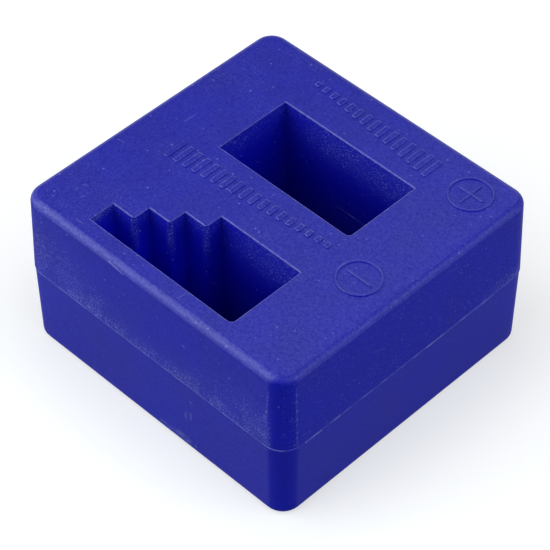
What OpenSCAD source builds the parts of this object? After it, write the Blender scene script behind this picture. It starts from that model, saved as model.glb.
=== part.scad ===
// Magnetizing and demagnetizing block for small hand tools.
// Two moulded half shells, glued at a seam half-way up, close over two ferrite magnets.
// A rectangular opening between the magnets magnetizes a blade, and a stepped opening outside them
// demagnetizes it as the blade is drawn away from the centre magnet step by step.
// Origin: centre of the base. +X points to the polarity marks, +Y from the stepped opening to the other one.

/* [Shell] */
// Height of the seam between the half shells
seam_height = 14; // [12:0.5:16]
// Radius of the upright corners at the seam
corner_radius = 3.4; // [2.8:0.1:5]
// Amount by which each side of the upper half leans in from the seam to the top edge
upper_taper = 0.34; // [0.1:0.01:0.6]
// Amount by which each side of the lower half leans in from the seam to the bottom edge
lower_taper = 0.25; // [0.1:0.01:0.6]
// Radius of the top edge
top_edge_radius = 1.3; // [0.6:0.1:1.8]
// Radius of the bottom edge
bottom_edge_radius = 1.1; // [0.6:0.1:1.8]
// Step by which the lower half stands back from the upper one at the seam
seam_step = 0.1; // [0.05:0.01:0.2]
// Thickness of the outer walls at the seam
outer_wall = 2.2; // [2:0.1:3]
// Thickness of the top plate
top_plate = 2; // [1.6:0.1:3]
// Thickness of the base plate
base_plate = 2; // [1.6:0.1:3]

/* [Openings] */
// Thickness of the walls round the openings
opening_wall = 1.6; // [1.2:0.1:2]
// Length of the magnetizing opening
magnetizing_length = 25.2; // [20:0.1:30]
// Width of the magnetizing opening
magnetizing_width = 13.15; // [10:0.05:18]
// Length of the demagnetizing opening
stepped_length = 27.6; // [24:0.1:34]
// Width of the narrowest bay of the demagnetizing opening
narrow_width = 4.15; // [4.1:0.05:6]
// Number of bays of the demagnetizing opening
bay_count = 4; // [3:1:5]
// Length by which each bay is shorter than the one before
bay_run = 4.15; // [3:0.05:4.5]
// Width by which each bay is wider than the one before
bay_rise = 2.92; // [2:0.01:4]
// Radius of the rounded corner at the shared end of each opening
opening_corner_radius = 0.9; // [0.5:0.1:1.4]
// Bevel round the mouths of the openings
mouth_bevel = 0.15; // [0.1:0.05:0.5]
// Distance from the front face to the demagnetizing opening
front_margin = 3.8; // [3:0.05:8]
// Distance from the plain end face to the narrow end of the demagnetizing opening
plain_margin = 11.1; // [9:0.1:16]
// Distance from the openings to the end face on the side of the polarity marks
marks_margin = 13.3; // [12:0.1:18]

/* [Magnets] */
// Length of each ferrite block
magnet_length = 25; // [20:0.5:28]
// Height of each ferrite block
magnet_height = 20; // [16:0.5:26]
// Thickness of each ferrite block, along its magnetic axis
magnet_thickness = 5; // [4:0.1:8]
// Bevel of the ferrite blocks' ground edges
magnet_bevel = 0.3; // [0.2:0.05:0.6]
// Clearance between a ferrite block and the ribs round it
magnet_clearance = 0.2; // [0.1:0.05:0.3]
// Thickness of the glue between a ferrite block and the opening wall
glue_thickness = 0.3; // [0.1:0.05:0.5]
// Length of each glue pad
glue_length = 18; // [12:0.5:20]
// Height of each glue pad
glue_height = 7; // [5:0.5:8]

/* [Ribs] */
// Thickness of the ribs
rib_thickness = 1.2; // [0.8:0.1:1.6]
// Height of the ribs that the ferrite blocks stand on
seat_rib_height = 2; // [1:0.1:3]
// Height of the ribs under the top plate that hold the ferrite blocks down
hold_rib_height = 1.8; // [1:0.1:3]
// Depth of the ribs in front of the centre magnet
centre_rib_depth = 0.89; // [0.4:0.01:2]
// Depth of the ribs behind the outer magnet
outer_rib_depth = 1.45; // [0.4:0.05:3]
// Distance between the two lines of ribs at one ferrite block
rib_spacing = 14; // [10:0.5:18]

/* [Seam] */
// Width of the tongue on the lower half
tongue_width = 0.7; // [0.5:0.05:0.9]
// Height of the tongue on the lower half
tongue_height = 0.8; // [0.6:0.05:1.2]
// Clearance between the tongue and each side of its groove
tongue_clearance = 0.1; // [0.05:0.01:0.15]
// Thickness of the glue bead between the tongue and the bottom of the groove
bead_thickness = 0.25; // [0.1:0.05:0.4]
// Radius of the corner posts
post_radius = 2.6; // [2.2:0.1:3]
// Radius of the pegs on the lower posts
peg_radius = 1.25; // [1:0.05:1.4]
// Height of the pegs on the lower posts
peg_height = 3; // [2:0.1:4]
// Clearance round each peg in its socket
peg_clearance = 0.1; // [0.05:0.01:0.15]
// Space left above each peg in its socket
peg_headroom = 0.4; // [0.2:0.1:1]

/* [Marks] */
// Height by which the marks stand above the top
mark_height = 0.2; // [0.1:0.05:0.4]
// Width of the lines of the polarity rings and their signs
mark_line = 0.4; // [0.3:0.05:0.6]
// Outer diameter of the polarity rings
ring_diameter = 6.8; // [5:0.1:8]
// Length of the lines of the plus and minus signs
sign_length = 4.5; // [3:0.1:5]
// Distance from the end face to the middle of the polarity rings
ring_inset = 6.8; // [6:0.1:8]
// Distance from the back face to the middle of the ring with the plus sign
plus_inset = 6.2; // [5.5:0.1:6.5]
// Length of the longest bar in a row of bars
bar_length = 3.9; // [2:0.1:4.2]
// Length of the shortest bar in a row of bars
bar_length_min = 1; // [0.5:0.1:2]
// Width of each bar
bar_width = 0.9; // [0.4:0.05:1.1]
// Distance from one bar to the next
bar_pitch = 1.68; // [1.2:0.02:2]
// Number of bars beside the plus sign
rising_bars = 15; // [6:1:15]
// Number of bars beside the minus sign
falling_bars = 18; // [6:1:18]
// Distance from the shared end of the openings back to the last bar of each row
bars_inset = 0.8; // [0:0.1:3]

/* [Hidden] */
$fn = 64;
plastic_blue = "#2f33a8";
ferrite_grey = "#3a3a3d";
glue_amber = "#d9c9a0";
// Depth by which a part is sunk into the one that it is moulded on, and a cut runs past a face
overlap = 0.5;
// Largest share of the rim's top that its round edge takes up
edge_limit = 0.48;
// Smallest radius of the corners inside the shells
cavity_radius_min = 0.4;

// The block is as long and as deep as its openings, magnets and walls laid side by side
stepped_width = narrow_width + (bay_count - 1) * bay_rise;
magnet_pocket = glue_thickness + magnet_thickness + magnet_clearance;
block_length = plain_margin + stepped_length + marks_margin;
block_depth = front_margin + stepped_width + opening_wall + centre_rib_depth + magnet_pocket + opening_wall
    + magnetizing_width + opening_wall + magnet_pocket + outer_rib_depth + outer_wall;
magnet_z = base_plate + seat_rib_height;
magnet_top = magnet_z + magnet_height;
hold_rib_z = magnet_top + magnet_clearance;
block_height = hold_rib_z + hold_rib_height + top_plate;
upper_height = block_height - seam_height;
cavity_size = [block_length - 2 * outer_wall, block_depth - 2 * outer_wall];
cavity_radius = max(corner_radius - outer_wall, cavity_radius_min);

// Places along Y, from the front face to the back
stepped_front = front_margin - block_depth / 2;
pocket_front = stepped_front + stepped_width + opening_wall;
centre_magnet_front = pocket_front + centre_rib_depth + magnet_clearance;
centre_glue_front = centre_magnet_front + magnet_thickness;
centre_glue_back = centre_glue_front + glue_thickness;
magnetizing_front = centre_glue_back + opening_wall;
outer_glue_front = magnetizing_front + magnetizing_width + opening_wall;
outer_magnet_front = outer_glue_front + glue_thickness;
cavity_back = cavity_size.y / 2;

// Places along X, with both magnets centred on the magnetizing opening
openings_end = block_length / 2 - marks_margin;
magnet_x = openings_end - magnetizing_length / 2;
pocket_left = magnet_x - magnet_length / 2 - magnet_clearance;
pocket_right = magnet_x + magnet_length / 2 + magnet_clearance;
rib_lines = [for (side = [-1, 1]) magnet_x + side * rib_spacing / 2 - rib_thickness / 2];

// Each opening is a list of rectangles, given as [left, front, right, back]
magnetizing_bays = [[
    openings_end - magnetizing_length,
    magnetizing_front,
    openings_end,
    magnetizing_front + magnetizing_width
]];
stepped_bays = [for (bay = [0 : bay_count - 1]) [
    openings_end - stepped_length + bay * bay_run,
    stepped_front,
    openings_end,
    stepped_front + narrow_width + bay * bay_rise
]];
opening_bays = concat(magnetizing_bays, stepped_bays);

// Middle of the post in the back corner on the side of the marks
post_place = [cavity_size.x / 2 - post_radius, cavity_size.y / 2 - post_radius];
groove_width = tongue_width + 2 * tongue_clearance;
groove_depth = tongue_height + bead_thickness;

ring_x = block_length / 2 - ring_inset;
plus_y = block_depth / 2 - plus_inset;
minus_y = (stepped_front + stepped_width + magnetizing_front) / 2;
bars_end = openings_end - bars_inset;

// Rectangle with four rounded corners, centred on the origin
module rounded_rectangle(size, radius) {
    square([size.x - 2 * radius, size.y], center = true);
    square([size.x, size.y - 2 * radius], center = true);
    for (x = [-1, 1], y = [-1, 1])
        translate([x * (size.x / 2 - radius), y * (size.y / 2 - radius)])
            circle(r = radius);
}

// Band that follows the outer wall, with its middle half-way through the wall
module wall_band(width) {
    middle_size = [block_length - outer_wall, block_depth - outer_wall];
    middle_radius = corner_radius - outer_wall / 2;
    difference() {
        rounded_rectangle([middle_size.x + width, middle_size.y + width], middle_radius + width / 2);
        rounded_rectangle([middle_size.x - width, middle_size.y - width], middle_radius - width / 2);
    }
}

// Side view of the rim of a half shell, standing on the seam: a tapered face that ends in a round top edge
module rim_profile(width, height, taper, edge_radius) {
    edge_middle = [width - taper - edge_radius, height - edge_radius];
    polygon([
        [0, 0],
        [width, 0],
        [width - taper, edge_middle.y],
        [edge_middle.x, height],
        [0, height]
    ]);
    translate(edge_middle)
        circle(r = edge_radius);
}

// Solid half block on the seam plane, tapering upwards: a core with a rim on its sides and corners
module half_block(size, radius, height, taper, edge_radius) {
    core = [size.x - 2 * radius, size.y - 2 * radius];
    edge = min(edge_radius, edge_limit * (radius - taper));
    translate([-core.x / 2, -core.y / 2, 0])
        cube([core.x, core.y, height]);
    for (side = [0 : 3]) {
        reach = side % 2 == 0 ? core.x / 2 : core.y / 2;
        length = side % 2 == 0 ? core.y : core.x;
        rotate([0, 0, 90 * side])
            translate([reach, length / 2, 0]) {
                rotate([90, 0, 0])
                    linear_extrude(length)
                        rim_profile(radius, height, taper, edge);
                rotate_extrude(angle = 90, start = 0)
                    rim_profile(radius, height, taper, edge);
            }
    }
}

// Outline of one bay, with its rounded corner at the shared end
module bay_outline(bay) {
    radius = opening_corner_radius;
    size = [bay[2] - bay[0], bay[3] - bay[1]];
    translate([bay[0], bay[1]]) {
        square([size.x - radius, size.y]);
        translate([0, radius])
            square([size.x, size.y - radius]);
        translate([size.x - radius, radius])
            circle(r = radius);
    }
}

// Slanted sides of a mouth, seen from the side
module flare_profile(width, flare) {
    polygon([[0, 0], [width, 0], [width + flare, flare], [-flare, flare]]);
}

// Flare that bevels the mouth of one bay in a face at z = 0
module bay_flare(bay) {
    radius = opening_corner_radius;
    flare = mouth_bevel + overlap;
    size = [bay[2] - bay[0], bay[3] - bay[1]];
    translate([bay[0], bay[1], -mouth_bevel]) {
        difference() {
            intersection() {
                translate([0, size.y + flare, 0])
                    rotate([90, 0, 0])
                        linear_extrude(size.y + 2 * flare)
                            flare_profile(size.x, flare);
                translate([-flare, 0, 0])
                    rotate([90, 0, 90])
                        linear_extrude(size.x + 2 * flare)
                            flare_profile(size.y, flare);
            }
            translate([size.x - radius, -2 * flare, -overlap])
                cube([radius + 2 * flare, radius + 2 * flare, flare + 2 * overlap]);
        }
        translate([size.x - radius, radius, 0])
            cylinder(r1 = radius, r2 = radius + flare, h = flare);
    }
}

// What the openings take out of the block, with their bevelled mouths
module openings_cut() {
    translate([0, 0, -overlap])
        linear_extrude(block_height + 2 * overlap)
            for (bay = opening_bays)
                bay_outline(bay);
    for (bay = opening_bays) {
        translate([0, 0, block_height])
            bay_flare(bay);
        mirror([0, 0, 1])
            bay_flare(bay);
    }
}

// Walls round the openings, with the openings filled
module opening_walls_outline() {
    for (bay = opening_bays)
        translate([bay[0] - opening_wall, bay[1] - opening_wall])
            square([bay[2] - bay[0] + 2 * opening_wall, bay[3] - bay[1] + 2 * opening_wall]);
}

// Walls of the magnets' pockets: both ends of each, and the front of the centre one beside the stepped bays
module pocket_walls_outline() {
    for (x = [pocket_left - rib_thickness, pocket_right]) {
        translate([x, outer_glue_front - overlap])
            square([rib_thickness, cavity_back - outer_glue_front + 2 * overlap]);
        translate([x, pocket_front - rib_thickness])
            square([rib_thickness, centre_glue_back - pocket_front + rib_thickness + overlap]);
    }
    translate([pocket_left - rib_thickness, pocket_front - rib_thickness])
        square([pocket_right - pocket_left + 2 * rib_thickness, rib_thickness]);
}

// Draws its children in all four corners of the block
module in_corners() {
    for (x = [0, 1], y = [0, 1])
        mirror([x, 0, 0])
            mirror([0, y, 0])
                translate(post_place)
                    children();
}

// Corner post, joined squarely to the two outer walls
module post_outline() {
    circle(r = post_radius);
    translate([-post_radius, 0])
        square([2 * post_radius, post_radius + overlap]);
    translate([0, -post_radius])
        square([post_radius + overlap, 2 * post_radius]);
}

// Hollow of a half shell, round the opening walls, the pocket walls and the corner posts
module cavity_outline() {
    difference() {
        rounded_rectangle(cavity_size, cavity_radius);
        opening_walls_outline();
        pocket_walls_outline();
        in_corners()
            post_outline();
    }
}

// Ribs on a plate, across both pockets, that end at the edges of the magnets
module cross_ribs(height) {
    for (x = rib_lines) {
        translate([x, pocket_front - overlap, 0])
            cube([rib_thickness, centre_glue_back - pocket_front + 2 * overlap, height]);
        translate([x, outer_glue_front - overlap, 0])
            cube([rib_thickness, cavity_back - outer_glue_front + 2 * overlap, height]);
    }
}

// Upright ribs that keep the magnets against their glue
module backing_ribs(height) {
    for (x = rib_lines) {
        translate([x, pocket_front - overlap, 0])
            cube([rib_thickness, centre_rib_depth + overlap, height]);
        translate([x, cavity_back - outer_rib_depth, 0])
            cube([rib_thickness, outer_rib_depth + overlap, height]);
    }
}

// Line of a mark, centred on the origin and sunk into the top
module mark_bar(length, width) {
    translate([-length / 2, -width / 2, -overlap])
        cube([length, width, mark_height + overlap]);
}

// Polarity ring with its minus sign
module ring_mark() {
    translate([0, 0, -overlap])
        difference() {
            cylinder(d = ring_diameter, h = mark_height + overlap);
            translate([0, 0, -overlap])
                cylinder(d = ring_diameter - 2 * mark_line, h = mark_height + 3 * overlap);
        }
    mark_bar(sign_length, mark_line);
}

// Row of bars that ends at bars_end, with its base line at y = base; the lengths run from first to last
module bar_row(base, count, first, last) {
    for (bar = [0 : count - 1]) {
        length = first + (last - first) * bar / (count - 1);
        translate([bars_end - (count - 1 - bar) * bar_pitch, base - length / 2, 0])
            mark_bar(bar_width, length);
    }
}

// Raised marks: bars that rise towards the plus sign, and bars that fall away towards the minus sign
module top_marks() {
    translate([ring_x, plus_y, 0]) {
        ring_mark();
        mark_bar(mark_line, sign_length);
    }
    translate([ring_x, minus_y, 0])
        ring_mark();
    bar_row(plus_y + bar_length / 2, rising_bars, bar_length_min, bar_length);
    bar_row(minus_y + bar_length / 2, falling_bars, bar_length, bar_length_min);
}

// Upper half: top plate, sides, upper opening walls, groove, sockets and raised marks
module upper_shell() {
    color(plastic_blue) {
        difference() {
            translate([0, 0, seam_height])
                half_block(
                    [block_length, block_depth],
                    corner_radius,
                    upper_height,
                    upper_taper,
                    top_edge_radius
                );
            translate([0, 0, seam_height - overlap])
                linear_extrude(upper_height - top_plate + overlap)
                    cavity_outline();
            openings_cut();
            translate([0, 0, seam_height - overlap])
                linear_extrude(groove_depth + overlap)
                    wall_band(groove_width);
            translate([0, 0, seam_height - overlap])
                in_corners()
                    cylinder(r = peg_radius + peg_clearance, h = peg_height + peg_headroom + overlap);
        }
        translate([0, 0, hold_rib_z])
            cross_ribs(hold_rib_height + overlap);
        translate([0, 0, block_height])
            top_marks();
    }
}

// Lower half: base plate, sides, lower opening walls, tongue, pegs and the ribs that carry the magnets
module lower_shell() {
    color(plastic_blue) {
        difference() {
            translate([0, 0, seam_height])
                mirror([0, 0, 1])
                    half_block(
                        [block_length - 2 * seam_step, block_depth - 2 * seam_step],
                        corner_radius - seam_step,
                        seam_height,
                        lower_taper,
                        bottom_edge_radius
                    );
            translate([0, 0, base_plate])
                linear_extrude(seam_height - base_plate + overlap)
                    cavity_outline();
            openings_cut();
        }
        translate([0, 0, seam_height - overlap])
            linear_extrude(tongue_height + overlap)
                wall_band(tongue_width);
        translate([0, 0, seam_height - overlap])
            in_corners()
                cylinder(r = peg_radius, h = peg_height + overlap);
        translate([0, 0, base_plate - overlap])
            cross_ribs(seat_rib_height + overlap);
        translate([0, 0, base_plate - overlap])
            backing_ribs(seam_height - base_plate + overlap);
    }
}

// Ferrite block with bevelled edges along its length, its front face at y = 0
module ferrite_block() {
    color(ferrite_grey)
        translate([magnet_x - magnet_length / 2, 0, magnet_z])
            rotate([90, 0, 90])
                linear_extrude(magnet_length)
                    polygon([
                        [magnet_bevel, 0],
                        [magnet_thickness - magnet_bevel, 0],
                        [magnet_thickness, magnet_bevel],
                        [magnet_thickness, magnet_height - magnet_bevel],
                        [magnet_thickness - magnet_bevel, magnet_height],
                        [magnet_bevel, magnet_height],
                        [0, magnet_height - magnet_bevel],
                        [0, magnet_bevel]
                    ]);
}

// Pad of cured glue that ends at the seam, its front face at y = 0
module glue_pad() {
    color(glue_amber)
        translate([magnet_x - glue_length / 2, 0, seam_height - glue_height])
            cube([glue_length, glue_thickness, glue_height]);
}

module centre_magnet() {
    translate([0, centre_magnet_front, 0])
        ferrite_block();
}

module outer_magnet() {
    translate([0, outer_magnet_front, 0])
        ferrite_block();
}

module centre_magnet_adhesive() {
    translate([0, centre_glue_front, 0])
        glue_pad();
}

module outer_magnet_adhesive() {
    translate([0, outer_glue_front, 0])
        glue_pad();
}

// Bead of cured glue between the tongue and the bottom of its groove
module seam_adhesive() {
    color(glue_amber)
        translate([0, 0, seam_height + tongue_height])
            linear_extrude(bead_thickness)
                wall_band(tongue_width);
}

upper_shell();
lower_shell();
centre_magnet();
outer_magnet();
centre_magnet_adhesive();
outer_magnet_adhesive();
seam_adhesive();
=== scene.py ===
import math

import bmesh
import bpy
from mathutils import Matrix, Vector


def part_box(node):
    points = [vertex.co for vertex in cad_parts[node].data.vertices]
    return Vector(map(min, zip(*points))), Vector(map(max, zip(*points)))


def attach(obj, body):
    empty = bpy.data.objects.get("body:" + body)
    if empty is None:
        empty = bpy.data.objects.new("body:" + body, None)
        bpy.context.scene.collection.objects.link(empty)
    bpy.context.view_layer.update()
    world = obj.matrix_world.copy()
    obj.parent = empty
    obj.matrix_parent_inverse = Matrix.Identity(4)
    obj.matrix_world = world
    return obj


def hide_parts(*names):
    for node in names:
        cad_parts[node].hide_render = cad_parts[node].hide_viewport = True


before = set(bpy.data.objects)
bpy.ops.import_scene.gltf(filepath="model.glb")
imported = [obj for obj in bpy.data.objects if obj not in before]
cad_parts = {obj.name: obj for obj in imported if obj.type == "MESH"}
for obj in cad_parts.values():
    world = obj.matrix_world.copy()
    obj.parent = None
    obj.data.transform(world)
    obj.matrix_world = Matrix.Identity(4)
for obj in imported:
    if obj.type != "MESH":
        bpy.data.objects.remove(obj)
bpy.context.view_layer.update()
scene = bpy.context.scene

# Lower half shell: the moulded tray that carries the magnets, in deep blue ABS with a fine satin texture.
# Its outside is drawn here ring by ring with softened edges. What lies inside is cut from the construction
# model: base plate, opening walls, ribs, posts, pegs and the tongue that the upper half sits on.
MM = 0.001
upper_low, upper_high = (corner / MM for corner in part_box("upper_shell"))
lower_low, lower_high = (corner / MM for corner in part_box("lower_shell"))
seam_z = upper_low.z
mark_height = 0.2
top_z = upper_high.z - mark_height
corner_radius = 3.4
seam_step = upper_high.x - lower_high.x
lower_taper = 0.25
bottom_edge = 1.1
lip_radius = 0.09
mouth_radius = 0.28
ridge_radius = 0.4
end_radius = 0.7
sharp_radius = 0.1
skin_gap = 0.02
overrun = 4.0
side_step = 2.5
arc_steps = 8
lip_steps = 3
edge_steps = 10
mouth_steps = 6

openings_end = 12.7
magnetizing = {"left": -12.5, "front": 1.2, "back": 14.35}
stepped_front = -21.3
bay_count = 4
first_bay_left = -14.9
first_bay_back = -17.15
bay_run = 4.15
bay_rise = 2.92
bay_lefts = [first_bay_left + bay_run * bay for bay in range(bay_count)]
bay_backs = [first_bay_back + bay_rise * bay for bay in range(bay_count)]
openings_half_length = 16
openings_half_width = 22
mouth_depth = 0.3
side_depth = 2


def rectangle(left, front, right, back, radius):
    """Corners of an upright rectangle, each as x, y and radius, anticlockwise."""
    return [(left, front, radius), (right, front, radius), (right, back, radius), (left, back, radius)]


def stepped_corners():
    """Corners of the opening that widens bay by bay, with a rounded ridge between each bay and the next."""
    corners = [(bay_lefts[0], stepped_front, sharp_radius), (openings_end, stepped_front, end_radius)]
    corners.append((openings_end, bay_backs[-1], sharp_radius))
    for bay in range(bay_count - 1, 0, -1):
        corners.append((bay_lefts[bay], bay_backs[bay], sharp_radius))
        corners.append((bay_lefts[bay], bay_backs[bay - 1], ridge_radius))
    corners.append((bay_lefts[0], bay_backs[0], sharp_radius))
    return corners


magnetizing_corners = rectangle(
    magnetizing["left"], magnetizing["front"], openings_end, magnetizing["back"], sharp_radius
)
magnetizing_corners[1] = (openings_end, magnetizing["front"], end_radius)
openings = [magnetizing_corners, stepped_corners()]


def outline(corners, grow):
    """Closed run of points round a right-angled shape, moved outwards by grow."""
    angles = [math.pi / 2 * step / arc_steps for step in range(arc_steps + 1)]
    arcs, splits = [], []
    for index, (x, y, radius) in enumerate(corners):
        before_x, before_y, _ = corners[index - 1]
        after_x, after_y, _ = corners[(index + 1) % len(corners)]
        arrive = Vector((x - before_x, y - before_y))
        leave = Vector((after_x - x, after_y - y))
        splits.append(max(1, round(leave.length / side_step)))
        arrive.normalize()
        leave.normalize()
        turn = arrive.cross(leave)
        bend = radius if radius <= sharp_radius else max(radius + turn * grow, sharp_radius)
        corner = Vector((x, y)) + grow * Vector((arrive.y + leave.y, -arrive.x - leave.x))
        centre = corner - bend * arrive + bend * leave
        arc = [math.sin(angle) * arrive - math.cos(angle) * leave for angle in angles]
        arcs.append([centre + bend * point for point in arc])
    return join_arcs(arcs, splits)


def join_arcs(arcs, splits):
    """Joins the rounded corners of an outline by straight sides, each split into its number of steps."""
    run = []
    for index, arc in enumerate(arcs):
        start = arc[-1]
        end = arcs[(index + 1) % len(arcs)][0]
        run += arc
        run += [start.lerp(end, step / splits[index]) for step in range(1, splits[index])]
    return run


def quarter_round(radius, steps):
    """Quarter circle as pairs of inset and rise, from upright to level."""
    angles = [math.pi / 2 * step / steps for step in range(steps + 1)]
    return [(radius * (1 - math.cos(angle)), radius * math.sin(angle)) for angle in angles]


def side_profile(height, taper, edge):
    """Outer side of a half as pairs of growth and distance from the seam, from the lip to the plate."""
    lip_round = reversed(quarter_round(lip_radius, lip_steps))
    lip = [(-skin_gap - inset, lip_radius - rise) for inset, rise in lip_round]
    hidden = [(lip[0][0], -overrun)]
    rim = [
        (-skin_gap - taper - inset, height - skin_gap - edge + rise)
        for inset, rise in quarter_round(edge, edge_steps)
    ]
    return hidden + lip + rim


def mouth_profile(height):
    """Wall of an opening as pairs of growth and distance from the seam, ending in its rounded mouth."""
    mouth = [
        (skin_gap + inset, height - skin_gap - mouth_radius + rise)
        for inset, rise in quarter_round(mouth_radius, mouth_steps)
    ]
    return [(skin_gap, -overrun)] + mouth


def ring(shape, points, z):
    """New corners of a shape along a run of points at one height."""
    return [shape.verts.new((point.x, point.y, z)) for point in points]


def bridge(shape, rings):
    """Bands of quads from each ring to the next, all of as many points."""
    for first, second in zip(rings, rings[1:]):
        for index in range(len(first)):
            shape.faces.new((first[index - 1], first[index], second[index], second[index - 1]))


def fill(shape, rings):
    """Flat face inside the first ring and outside the rings that lie in it, and so on inwards."""
    edges = []
    for loop in rings:
        edges += [shape.edges.get((loop[index - 1], loop[index])) for index in range(len(loop))]
    bmesh.ops.triangle_fill(shape, use_beauty=True, edges=edges)


def half_skin(block, direction, sides, mouths, marks=()):
    """Closed skin of one half: sides, opening walls and plate. Direction is 1 upwards and -1 downwards."""
    shape = bmesh.new()
    hidden, plate = [], []
    for corners, profile in [(block, sides)] + [(opening, mouths) for opening in openings]:
        rings = [ring(shape, outline(corners, grow), seam_z + direction * rise) for grow, rise in profile]
        bridge(shape, rings)
        hidden.append(rings[0])
        plate.append(rings[-1])
    for raise_mark in marks:
        plate += raise_mark(shape)
    fill(shape, hidden)
    fill(shape, plate)
    bmesh.ops.recalc_face_normals(shape, faces=shape.faces)
    return shape


def to_mesh(shape, name):
    """Turns a shape in millimetres into a mesh in metres."""
    bmesh.ops.scale(shape, vec=(MM, MM, MM), verts=shape.verts)
    mesh = bpy.data.meshes.new(name)
    shape.to_mesh(mesh)
    shape.free()
    return mesh


def add_piece(name, mesh):
    """Object with a mesh, linked into the scene."""
    piece = bpy.data.objects.new(name, mesh)
    scene.collection.objects.link(piece)
    return piece


def plain_core(node):
    """Copy of a piece of the construction model, without its own normals and with its corners joined."""
    same_place = 1e-7
    core = bmesh.new()
    core.from_mesh(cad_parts[node].data)
    bmesh.ops.remove_doubles(core, verts=core.verts, dist=same_place)
    core.verts.index_update()
    places = [vert.co for vert in core.verts]
    faces = [[vert.index for vert in face.verts] for face in core.faces]
    mesh = bpy.data.meshes.new("core")
    mesh.from_pydata(places, [], faces)
    core.free()
    return mesh


def weld(mesh):
    """Joins corners that all but meet, so that the cut leaves no slivers."""
    weld_gap = 0.005 * MM
    shape = bmesh.new()
    shape.from_mesh(mesh)
    bmesh.ops.remove_doubles(shape, verts=shape.verts, dist=weld_gap)
    bmesh.ops.dissolve_degenerate(shape, edges=shape.edges, dist=weld_gap / 10)
    shape.to_mesh(mesh)
    shape.free()


def cut_half(name, skin, node):
    """What a skin and its half of the construction model have in common, with soft edges kept smooth."""
    sharp_angle = math.radians(35)
    piece = add_piece(name, to_mesh(skin, name))
    core = add_piece("core", plain_core(node))
    common = piece.modifiers.new("common", "BOOLEAN")
    common.operation = "INTERSECT"
    common.solver = "MANIFOLD"
    common.object = core
    mesh = bpy.data.meshes.new_from_object(piece.evaluated_get(bpy.context.evaluated_depsgraph_get()))
    piece.modifiers.clear()
    piece.data = mesh
    bpy.data.objects.remove(core)
    weld(mesh)
    mesh.materials.clear()
    mesh.shade_smooth()
    mesh.set_sharp_from_angle(angle=sharp_angle)
    weighted = piece.modifiers.new("flat faces stay flat", "WEIGHTED_NORMAL")
    weighted.keep_sharp = True
    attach(piece, "root")
    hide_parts(node)
    return piece


class Socket:
    """A shader socket that takes part in sums: each operator on it adds one Math node to its tree."""

    def __init__(self, tree, socket=None):
        self.tree = tree
        self.socket = socket

    def add(self, kind, settings=None, sockets=None, output=0):
        """New node of a kind, with its settings and the values or links of its sockets."""
        node = self.tree.nodes.new("ShaderNode" + kind)
        for name, value in (settings or {}).items():
            setattr(node, name, value)
        for name, value in (sockets or {}).items():
            if isinstance(value, Socket):
                self.tree.links.new(value.socket, node.inputs[name])
            else:
                node.inputs[name].default_value = value
        return Socket(self.tree, node.outputs[output])

    def math(self, operation, *values):
        return self.add("Math", {"operation": operation}, dict(enumerate(values)))

    def __add__(self, other):
        return self.math("ADD", self, other)

    def __sub__(self, other):
        return self.math("SUBTRACT", self, other)

    def __rsub__(self, other):
        return self.math("SUBTRACT", other, self)

    def __mul__(self, other):
        return self.math("MULTIPLY", self, other)

    def __pow__(self, power):
        return self.math("POWER", self, power)

    def __gt__(self, other):
        return self.math("GREATER_THAN", self, other)

    def __lt__(self, other):
        return self.math("LESS_THAN", self, other)

    def __abs__(self):
        return self.math("ABSOLUTE", self)

    __radd__ = __add__
    __rmul__ = __mul__

    def most(self, other):
        return self.math("MAXIMUM", self, other)

    def between(self, low, high):
        """0 below low and 1 above high, with a soft change from one to the other; low may be the larger."""
        sockets = {"Value": self, "From Min": low, "From Max": high}
        return self.add("MapRange", {"interpolation_type": "SMOOTHSTEP"}, sockets)

    def noise(self, scale, detail, rough=0.5):
        sockets = {"Vector": self, "Scale": scale, "Detail": detail, "Roughness": rough}
        return self.add("TexNoise", None, sockets)

    def vector(self, operation, sockets, output="Vector"):
        return self.add("VectorMath", {"operation": operation}, sockets, output)

    def scaled(self, factors):
        return self.vector("MULTIPLY", {0: self, 1: factors})

    def mix(self, first, second):
        """Colour between two others, by this value."""
        sockets = {"Factor": self, 6: first, 7: second}
        return self.add("Mix", {"data_type": "RGBA"}, sockets, output=2)


def start_material(name):
    """New material, its shader, and the place on the piece in millimetres."""
    material = bpy.data.materials.new(name)
    material.use_nodes = True
    tree = material.node_tree
    shader = tree.nodes["Principled BSDF"]
    place = Socket(tree).add("TexCoord", output="Object").scaled((1 / MM, 1 / MM, 1 / MM))
    return material, shader, place


def feed(shader, **sockets):
    """Links or sets the shader's sockets, which are named with _ for a space."""
    for name, value in sockets.items():
        target = shader.inputs[name.replace("_", " ")]
        if isinstance(value, Socket):
            value.tree.links.new(value.socket, target)
        else:
            target.default_value = value


def axes(place):
    """The three parts of a place or a direction."""
    return [place.add("SeparateXYZ", None, {0: place}, output=axis) for axis in range(3)]


def leaning(place):
    """The three parts of the direction that the surface faces."""
    return axes(place.add("TexCoord", output="Normal"))


def around_openings(x, y):
    """1 in a rectangle round both openings that leaves out the outer sides, and 0 elsewhere."""
    return (abs(x) < openings_half_length) * (abs(y) < openings_half_width)


def specks(place, size, amount):
    """Fine pale dots of about a size: hardly any at an amount of 0, and on half the surface at 1."""
    softness = 0.14
    threshold = 0.76 - 0.3 * amount
    return place.noise(1 / size, 2, 0.6).between(threshold, threshold + softness)


def scratch(place, start, end, width):
    """1 along a straight line between two places on the surface, fading over its width."""
    solid_share = 0.3
    along = Vector(end) - Vector(start)
    from_start = place.vector("SUBTRACT", {0: place, 1: start})
    share = place.vector("DOT_PRODUCT", {0: from_start, 1: along}, "Value")
    share = place.add("Clamp", None, {"Value": share * (1 / along.length_squared)})
    nearest = place.vector("SCALE", {0: along, "Scale": share})
    gap = place.vector("DISTANCE", {0: from_start, 1: nearest}, "Value")
    return gap.between(width, width * solid_share)


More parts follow.
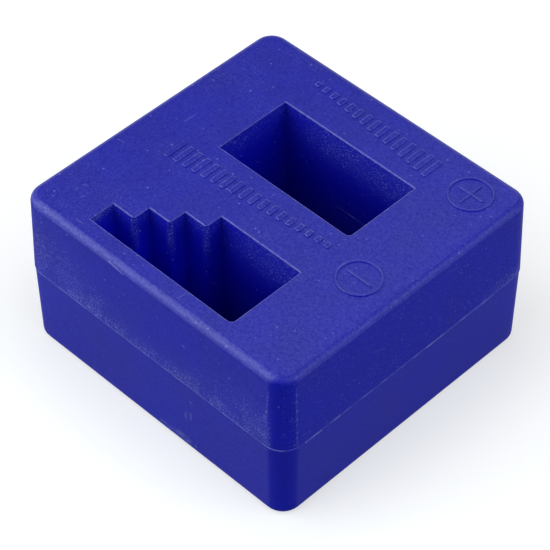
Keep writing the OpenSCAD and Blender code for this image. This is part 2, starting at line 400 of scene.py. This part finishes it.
def scratches(place, lines, width):
    """Several scratches, each given by its two ends."""
    worn = scratch(place, *lines[0], width)
    for line in lines[1:]:
        worn = worn.most(scratch(place, *line, width))
    return worn


def satin_gloss(place, opening_walls, end_gloss):
    """Gloss that is low on the sides, higher on the top, highest on edges and gone on upright corners."""
    side_gloss = 0.055
    sheltered_gloss = 0.08
    top_gloss = 0.33
    top_haze = 0.4
    edge_gloss = 0.52
    front_edge_gloss = 0.25
    mouth_gloss = 0.4
    near_mouth_gloss = 1.2
    turned_loss = 0.45
    dull_loss = 0.3
    x, y, _ = axes(place)
    lean_x, lean_y, lean_z = leaning(place)
    level = lean_z.between(0.9, 0.99)
    edge = lean_z.between(0.03, 0.35) * lean_z.between(0.997, 0.94)
    front = lean_y.between(-0.2, -0.5)
    end = lean_x.between(0.8, 0.95)
    haze = (x - 0.35 * y).between(-35, 35)
    # Mouth edges on the near side shine most, a dull line follows the edge along the right end, and the
    # edge is duller where it turns at the near and the far corner.
    near_mouth = (lean_y - lean_x).between(0, 0.3)
    dull_line = lean_x.between(0.2, 0.4) * lean_x.between(0.8, 0.6) * lean_y.between(-0.35, -0.1)
    turned_edge = (lean_x * lean_y).between(-0.03, -0.2)
    upright_corner = abs(lean_x * lean_y).between(0.05, 0.24 + 0.4 * lean_z) * lean_z.between(0.85, 0.1)
    faces = side_gloss + end_gloss * end + sheltered_gloss * front.most(opening_walls)
    faces = faces + level * (top_gloss + top_haze * haze)
    mouths = around_openings(x, y) * (mouth_gloss + near_mouth_gloss * near_mouth)
    edges = edge * (1 - turned_loss * turned_edge) * (edge_gloss + front_edge_gloss * front + mouths)
    return (faces + edges) * (1 - upright_corner) * (1 - dull_loss * dull_line)


def moulded_blue(name, end_gloss, wear_and_highlights):
    """Deep blue moulded plastic, fine grain: satin, burnished edges, pale marks, painted highlights,
    painted light.
    """
    blue = (0.004, 0.008, 0.37, 1)
    deep_blue = (0.003, 0.006, 0.305, 1)
    painted_lit_wall_blue = (0.001, 0.002, 0.41, 1)
    painted_lit_bay_blue = (0.001, 0.002, 0.6, 1)
    pale_wear_and_highlight_blue = (0.2, 0.23, 0.62, 1)
    grain_depth = 0.03 * MM
    material, shader, place = start_material(name)
    x, y, z = axes(place)
    grain = place.noise(2.6, 4, 0.7)
    mottle = place.noise(0.14, 3)
    opening_walls = around_openings(x, y) * (z < top_z - mouth_depth) * (z > mouth_depth)
    painted_lit_bays = (y < 0) * x.between(1, -6) * (top_z - z).between(2.8 + 0.2 * x, 14.4 + 0.6 * x)
    pale = wear_and_highlights(place, x, y, z)
    colour = (0.4 * mottle + 0.6 * grain).between(0.38, 0.62).mix(deep_blue, blue)
    # Painted light: the walls inside the openings are a brighter, purer blue than the outside, and brighter
    # still deep in the left bays of the stepped opening.
    colour = opening_walls.mix(colour, painted_lit_bays.mix(painted_lit_wall_blue, painted_lit_bay_blue))
    # The pale marks are specks, dust, scuffs, scratches and flash; on the upper half they also hold painted
    # highlights on the lip, the ring tops and down each ridge.
    colour = pale.mix(colour, pale_wear_and_highlight_blue)
    roughness = 0.45 + 0.08 * mottle + 0.2 * pale
    satin = satin_gloss(place, opening_walls, end_gloss) * (2.4 * grain - 0.2)
    bump = place.add("Bump", None, {"Strength": 0.5, "Distance": grain_depth, "Height": grain + 0.6 * pale})
    feed(shader, Base_Color=colour, Roughness=roughness, Normal=bump, Coat_Weight=satin)
    feed(shader, Coat_Roughness=0.38, Specular_IOR_Level=0.05)
    return material


across_front = (1, 0, 1)
across_end = (0, 1, 1)


def front_scuffs(place):
    """Two short streaks and a few scuffs on the front, most of them along its bottom edge."""
    front = place.scaled(across_front)
    streak_lines = [((6.8, 0, 7.7), (6.7, 0, 6.4)), ((7.8, 0, 8.3), (7.8, 0, 7.1))]
    small_scuffs = [((8.0, 0, 10.9), (8.1, 0, 10.6)), ((8.4, 0, 1.9), (8.5, 0, 1.7))]
    patches = place.noise(1.6, 4, 0.7).between(0.35, 0.7)
    scuffs = scratches(front, small_scuffs, width=0.4)
    scuffs = scuffs.most(scratch(front, (5.2, 0, 1.9), (6.8, 0, 1.7), width=1.1))
    scuffs = scuffs.most(0.6 * scratch(front, (1.6, 0, 1.5), (5, 0, 1.7), width=0.8))
    streaks = 0.5 * scratches(front, streak_lines, width=0.3)
    return streaks.most(scuffs * patches)


def seam_flash(place, y):
    """Thin pale line of flash along the seam on the right end, thicker over a few stretches."""
    end = place.scaled(across_end)
    flash_z = seam_z - 0.25
    flash_front, flash_back = -20.6, 17.4
    thick_spans = [(flash_front, -17.6), (-14.9, -14.0), (3.2, 6.3), (14.8, 15.5)]
    thick_lines = [((0, start, flash_z), (0, stop, flash_z)) for start, stop in thick_spans]
    thin_strength = 0.12 + 0.1 * y.between(-2, 3) + 0.4 * place.noise(0.5, 3).between(0.45, 0.6)
    thick_strength = 0.35 + 0.45 * place.noise(1.2, 2).between(0.4, 0.6)
    thin = scratch(end, (0, flash_front, flash_z), (0, flash_back, flash_z), width=0.16)
    thick = scratches(end, thick_lines, width=0.2)
    return (thin * thin_strength).most(thick * thick_strength)


def lower_wear(place, x, y, z):
    """A few specks all over, more of them at the base and below the seam, with scuffs and flash."""
    speck_size = 0.22
    speck_strength = 0.4
    scuff_strength = 0.4
    near_base = z.between(2.5, 0.5) * place.noise(0.25, 2).between(0.45, 0.7)
    sides = abs(y).between(lower_high.y - 3, lower_high.y - 1.5)
    below_seam = sides * z.between(seam_z - 4, seam_z) * abs(x).between(10, 20)
    amount = 0.12 + 0.45 * near_base + 0.35 * below_seam
    scuffs = front_scuffs(place) * (y < lower_low.y + side_depth) * scuff_strength
    flash = seam_flash(place, y) * (x > lower_high.x - side_depth)
    return (specks(place, speck_size, amount) * speck_strength).most(scuffs).most(flash)


lower_end_gloss = 0.04
lower_skin = half_skin(
    block=rectangle(lower_low.x, lower_low.y, lower_high.x, lower_high.y, corner_radius - seam_step),
    direction=-1,
    sides=side_profile(seam_z, lower_taper, bottom_edge),
    mouths=mouth_profile(seam_z),
)
lower_half = cut_half("lower_half", lower_skin, "lower_shell")
lower_half.data.materials.append(moulded_blue("lower_plastic", lower_end_gloss, lower_wear))

# Ferrite magnets: two pressed and sintered blocks, ground grey on their faces, with fine pores.
# They stand upright in ribbed pockets of the lower half, one on each side of the rectangular opening.
dark_grey = (0.03, 0.03, 0.034, 1)
ground_grey = (0.075, 0.075, 0.08, 1)
pore_depth = 0.04 * MM
ferrite, shader, place = start_material("ground_ferrite")
pores = place.noise(6, 3)
grinding = place.scaled((0.4, 9, 9)).noise(1, 2)
bump = place.add("Bump", None, {"Strength": 0.4, "Distance": pore_depth, "Height": pores + 0.5 * grinding})
feed(shader, Base_Color=grinding.mix(dark_grey, ground_grey), Roughness=0.5 + 0.25 * pores)
feed(shader, Metallic=0.1, Normal=bump)
for node in ("centre_magnet", "outer_magnet"):
    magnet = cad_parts[node]
    magnet.data.materials.clear()
    magnet.data.materials.append(ferrite)

# Glue: amber pads that hold the magnets to the opening walls, and the bead in the groove at the seam.
# It is brushed on as a liquid and sets hard, with small bubbles in it.
dark_amber = (0.55, 0.4, 0.18, 1)
pale_amber = (0.78, 0.66, 0.42, 1)
bubble_depth = 0.06 * MM
glue, shader, place = start_material("cured_glue")
bubbles = place.noise(2.5, 3)
streaks = place.scaled((0.3, 1, 2)).noise(1, 2)
bump = place.add("Bump", None, {"Strength": 0.5, "Distance": bubble_depth, "Height": bubbles})
feed(shader, Base_Color=streaks.mix(dark_amber, pale_amber), Roughness=0.25 + 0.2 * bubbles, Normal=bump)
for node in ("centre_magnet_adhesive", "outer_magnet_adhesive", "seam_adhesive"):
    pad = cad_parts[node]
    pad.data.materials.clear()
    pad.data.materials.append(glue)

# Upper half shell: the same blue plastic, pressed down on the tongue and pegs of the lower half and glued.
# Raised marks are moulded on its top: a plus and a minus in rings, and a row of bars beside each opening.
upper_taper = 0.34
top_edge = 1.3
mark_line = 0.4
mark_edge = 0.15
mark_steps = 4
ring_radius = 3.4
ring_steps = 72
ring_from_end = 6.8
plus_from_back = 6.2
sign_length = 4.5
ring_x = upper_high.x - ring_from_end
plus_y = upper_high.y - plus_from_back
minus_y = (bay_backs[-1] + magnetizing["front"]) / 2
bar_width = 0.9
bar_long = 3.9
bar_short = 1.0
bar_pitch = 1.68
bars_end = openings_end - 0.8
back_bars = 15
middle_bars = 18
mark_profile = [
    (-skin_gap - inset, top_z + mark_height - skin_gap - mark_edge + rise)
    for inset, rise in quarter_round(mark_edge, mark_steps)
]
mark_profile.insert(0, (-skin_gap, top_z - skin_gap))


def raised(*loops):
    """Function that adds a mark with a soft upper edge to a shape. A loop gives its points for a growth."""
    def raise_mark(shape):
        """Adds the mark to a shape and returns the rings at its foot."""
        feet, tops = [], []
        for loop in loops:
            rings = [ring(shape, loop(grow), z) for grow, z in mark_profile]
            bridge(shape, rings)
            feet.append(rings[0])
            tops.append(rings[-1])
        fill(shape, tops)
        return feet
    return raise_mark


def circle(x, y, radius):
    """Points of a circle round a place."""
    angles = [2 * math.pi * step / ring_steps for step in range(ring_steps)]
    return [Vector((x + radius * math.cos(angle), y + radius * math.sin(angle))) for angle in angles]


def polarity_ring(y):
    """Ring round one of the two signs."""
    inner = ring_radius - mark_line
    return raised(
        lambda grow: circle(ring_x, y, ring_radius + grow),
        lambda grow: circle(ring_x, y, inner - grow),
    )


def bar(x, y, length, width):
    """Bar of a length along X and a width along Y, centred on a place."""
    corners = rectangle(x - length / 2, y - width / 2, x + length / 2, y + width / 2, sharp_radius)
    return raised(lambda grow: outline(corners, grow))


def plus_sign(x, y):
    """Plus sign centred on a place, made of four arms turned by right angles."""
    reach = sign_length / 2
    half = mark_line / 2
    arm = [(reach, -half), (reach, half), (half, half)]
    corners = []
    for cos, sin in ((1, 0), (0, 1), (-1, 0), (0, -1)):
        corners += [(x + cos * u - sin * v, y + sin * u + cos * v, sharp_radius) for u, v in arm]
    return raised(lambda grow: outline(corners, grow))


def bar_row(y, count, first, last):
    """Row of bars that ends beside the shared end of the openings, from the first length to the last."""
    bars = []
    for index in range(count):
        length = first + (last - first) * index / (count - 1)
        x = bars_end - (count - 1 - index) * bar_pitch
        bars.append(bar(x, y + bar_long / 2 - length / 2, bar_width, length))
    return bars


def motes(place):
    """Single grains of dust, a few on each square centimetre."""
    cells_per_mm = 0.6
    outer_reach = 0.11
    inner_reach = 0.05
    grains = place.add("TexVoronoi", None, {"Vector": place, "Scale": cells_per_mm})
    return grains.between(outer_reach, inner_reach)


def opening_dust_and_highlights(place, x, y, z, facing):
    """How much dust clings in the openings, most near the top and on the far walls, plus a painted
    highlight down each ridge.
    """
    depth = top_z - z
    magnetizing_side = y > 0
    ridge_places = zip(bay_lefts[1:], bay_backs)
    ridge_lines = [((left, back, seam_z + 4), (left, back, top_z)) for left, back in ridge_places]
    # Painted highlight: more pale specks in a band down each ridge, where the rounded edge would catch the
    # light.
    painted_ridge_highlights = scratches(place, ridge_lines, width=1.4)
    far_walls = facing.between(-0.2, -0.8) * (y > bay_backs[-2] + 1)
    far_walls = far_walls * (0.5 + 0.5 * (x + 9 * magnetizing_side).between(-4, 6))
    near_top = 0.7 * depth.between(4.5 + 2 * magnetizing_side, 0.5)
    inside = around_openings(x, y) * (depth > mouth_depth) * depth.between(11, 3)
    return inside * (0.2 + 0.8 * far_walls.most(painted_ridge_highlights).most(near_top))


def side_rubbing(place, x, y, rise, facing, ends):
    """Rubbed band above the seam, front and back, that rises towards both ends, and a patch on each end."""
    height = 6.5 + 24 * x.between(-2, -30) + 9 * x.between(2, 24)
    uneven = 0.7 + 0.3 * place.noise(0.35, 3).between(0.3, 0.6)
    sides = abs(y).between(upper_high.y - side_depth, upper_high.y - 1) * abs(facing).between(0.9, 0.99)
    end_patch = ends * rise.between(3.5, 0) * y.between(12, 19) * 0.5
    return (sides * rise.between(height, 0) * uneven).most(end_patch)


def painted_lip_highlight(place, x, y, rise):
    """Painted highlight: a pale broken line along the lip at the seam, fainter on the ends and in the
    rectangular opening.
    """
    broken = place.noise(0.5, 3).between(0.42, 0.6)
    on_ends = (abs(x) > openings_half_length) * 0.2
    in_opening = (y > 10) * x.between(-4, 1) * 0.6
    shown = (abs(y) > openings_half_width).most(on_ends).most(in_opening)
    return shown * rise.between(0.32, 0.16) * (0.4 + 0.6 * broken)


def upper_scratches(place, x, y, z):
    """Single scratches on the top, the front and the right end, and rubbed lines down the near corner."""
    top_lines = [
        ((-19.9, 1.4, 0), (-19.8, 3.4, 0)),
        ((-24, -7.9, 0), (-22.8, -7.75, 0)),
        ((-20.6, -17.6, 0), (-20.1, -17.2, 0)),
        ((-19.1, -19.4, 0), (-18.7, -18.8, 0)),
        ((-16.2, -22.8, 0), (-14.9, -22.7, 0)),
        ((4.5, -23.3, 0), (4.5, -21.8, 0)),
    ]
    front_lines = [((-7.7, 0, 27.2), (-4.9, 0, 26.8)), ((6.7, 0, 21.6), (7.1, 0, 21.5))]
    end_lines = [((0, 7.1, 25.9), (0, 9.3, 25.2)), ((0, -7.5, 21.3), (0, -5.3, 20.4))]
    corner_lines = [
        ((22.9, -24.85, 25), (22.5, -25.05, 14.6)),
        ((25.75, -22.2, 26), (25.95, -22.25, 14.6)),
    ]
    across_top = (1, 1, 0)
    on_top = 0.25 * (z > top_z - 1)
    on_front = 0.5 * (y < upper_low.y + side_depth)
    on_end = 0.12 * (x > upper_high.x - side_depth)
    on_corner = 0.08 + 0.6 * place.noise(2.2, 3, 0.7).between(0.52, 0.68)
    worn = scratches(place.scaled(across_top), top_lines, width=0.13) * on_top
    worn = worn.most(scratches(place.scaled(across_front), front_lines, width=0.15) * on_front)
    worn = worn.most(scratches(place.scaled(across_end), end_lines, width=0.13) * on_end)
    return worn.most(scratches(place, corner_lines, width=0.26) * on_corner)


def upper_wear_and_highlights(place, x, y, z):
    """Rubbed-in specks above the seam, dust in the openings and on the top, scratches and painted
    highlights.
    """
    speck_size = 0.2
    lip_highlight_strength = 0.75
    ring_highlight_strength = 0.06
    rise = z - seam_z
    _, facing, _ = leaning(place)
    ends = abs(x).between(upper_high.x - side_depth, upper_high.x - 1)
    rubbed = side_rubbing(place, x, y, rise, facing, ends)
    inside = opening_dust_and_highlights(place, x, y, z, facing)
    dusty = (place.noise(0.12, 2) - 0.005 * x).between(0.45, 0.7)
    dust = ((z > top_z - 0.05) * dusty).most(0.8 * ends)
    front_rim = (z > top_z - 1) * y.between(-15, -22) * x.between(12, -20)
    # Painted highlight: the tops of the rings and signs are tinted a little paler.
    painted_ring_highlights = (z > top_z + 0.05) * (x > ring_x - ring_radius - 1)
    amount = 0.1 + 0.85 * rubbed + 0.65 * inside + 0.5 * dust.most(front_rim)
    strength = (0.3 + 0.35 * place.noise(0.9, 2).between(0.35, 0.65)) * (1 + 0.4 * inside)
    worn = upper_scratches(place, x, y, z).most(lip_highlight_strength * painted_lip_highlight(place, x, y, rise))
    worn = worn.most(ring_highlight_strength * painted_ring_highlights).most(motes(place) * (0.3 + 0.35 * dusty))
    # A faint pale tint follows the dust in the openings, the painted ridge highlight with it, and the
    # rubbed band.
    return (specks(place, speck_size, amount) * strength + 0.04 * inside + 0.03 * rubbed).most(worn)


marks = [polarity_ring(plus_y), plus_sign(ring_x, plus_y)]
marks += [polarity_ring(minus_y), bar(ring_x, minus_y, sign_length, mark_line)]
marks += bar_row(plus_y, back_bars, bar_short, bar_long)
marks += bar_row(minus_y, middle_bars, bar_long, bar_short)
upper_end_gloss = -0.02
upper_height = top_z - seam_z
upper_skin = half_skin(
    block=rectangle(upper_low.x, upper_low.y, upper_high.x, upper_high.y, corner_radius),
    direction=1,
    sides=side_profile(upper_height, upper_taper, top_edge),
    mouths=mouth_profile(upper_height),
    marks=marks,
)
upper_half = cut_half("upper_half", upper_skin, "upper_shell")
upper_half.data.materials.append(moulded_blue("upper_plastic", upper_end_gloss, upper_wear_and_highlights))

# Table: a plain matt white board, far larger than the view, that the block lies on.
# It glows to the eye and in reflections, so that the block leaves only a faint shadow on it.
floor_reach = 3
floor_mesh = bpy.data.meshes.new("floor")
floor_mesh.from_pydata(
    [
        (-floor_reach, -floor_reach, 0),
        (floor_reach, -floor_reach, 0),
        (floor_reach, floor_reach, 0),
        (-floor_reach, floor_reach, 0),
    ],
    [],
    [(0, 1, 2, 3)],
)
floor = add_piece("floor", floor_mesh)
board, shader, place = start_material("white_board")
black = (0, 0, 0, 1)
white = (1, 1, 1, 1)
lighting_grey = (0.4, 0.4, 0.4, 1)
shown_grey = (0.56, 0.56, 0.56, 1)


def seen(tree):
    """1 for the rays that show the surroundings, straight or mirrored, and 0 for those that only light."""
    straight, mirrored, through = (
        Socket(tree).add("LightPath", output=kind)
        for kind in ("Is Camera Ray", "Is Glossy Ray", "Is Transmission Ray")
    )
    return straight.most(mirrored).most(through)


x, y, _ = axes(place)
away_x = (abs(x) - (lower_high.x - corner_radius)).most(0)
away_y = (abs(y) - (lower_high.y - corner_radius)).most(0)
away = (away_x * away_x + away_y * away_y) ** 0.5 - (corner_radius - bottom_edge)
shown = seen(board.node_tree)
# Painted shade: the glow rises from 0.5 at the block's foot to 0.6 at 16 mm from it, so the floor is
# painted a little darker round the block.
glow = shown * (away > 0) * (0.5 + 0.1 * away.between(0, 16))
feed(shader, Base_Color=shown.mix(lighting_grey, shown_grey), Roughness=0.9, Specular_IOR_Level=0.0)
feed(shader, Emission_Color=glow.mix(black, white), Emission_Strength=1.0)
floor_mesh.materials.append(board)

# Studio: three square soft boxes in a white room, the strongest on the left of the view, one on its right
# and a weak one behind. The room looks white in the view and in reflections, but lights the block weakly.
room_light = 0.16
lamp_tint = (0.94, 1, 1)
lamp_aim = Vector((0, 0, 20 * MM))
lamp_distance = 0.5
world = bpy.data.worlds.new("studio")
world.use_nodes = True
backdrop = world.node_tree.nodes["Background"]
feed(backdrop, Color=white, Strength=room_light + (1 - room_light) * seen(world.node_tree))
scene.world = world


def soft_box(name, direction, size, radiance):
    """Square area lamp that faces the block, with its size in metres and the brightness that it shows."""
    lamp = bpy.data.objects.new(name, bpy.data.lights.new(name, "AREA"))
    lamp.data.size = size
    lamp.data.energy = radiance * math.pi * size ** 2
    lamp.data.color = lamp_tint
    towards = Vector(direction).normalized()
    lamp.location = lamp_aim + towards * lamp_distance
    lamp.rotation_euler = (-towards).to_track_quat("-Z", "Y").to_euler()
    scene.collection.objects.link(lamp)


soft_box("left_box", (-0.42, -0.68, 0.55), size=0.6, radiance=2.25)
soft_box("right_box", (0.76, 0.18, 0.56), size=0.6, radiance=1.6)
soft_box("back_box", (-0.6, 0.3, 0.74), size=0.55, radiance=0.3)

# Camera: a long lens above the corner between the stepped side and the end with the marks.
# It leans a little, and is moved sideways and down until the block lies in the frame as in the photograph.
azimuth, elevation, roll = (math.radians(angle) for angle in (45.02, 46.48, -0.31))
camera_distance = 356.4
camera_shift = Vector((-0.3, -1.557))
camera = bpy.data.objects.new("camera", bpy.data.cameras.new("camera"))
camera.data.lens = 163.16
camera.data.sensor_width = 36
camera.data.clip_start = 10 * MM
back = Vector((
    math.sin(azimuth) * math.cos(elevation),
    -math.cos(azimuth) * math.cos(elevation),
    math.sin(elevation),
))
level = Vector((math.cos(azimuth), math.sin(azimuth), 0))
rise = back.cross(level)
right = math.cos(roll) * level + math.sin(roll) * rise
up = math.cos(roll) * rise - math.sin(roll) * level
middle = Vector((0, 0, seam_z))
stand = middle + camera_shift.x * right + camera_shift.y * up + camera_distance * back
camera.matrix_world = Matrix.Translation(stand * MM) @ Matrix((right, up, back)).transposed().to_4x4()
scene.collection.objects.link(camera)
scene.camera = camera
scene.view_settings.view_transform = "Standard"
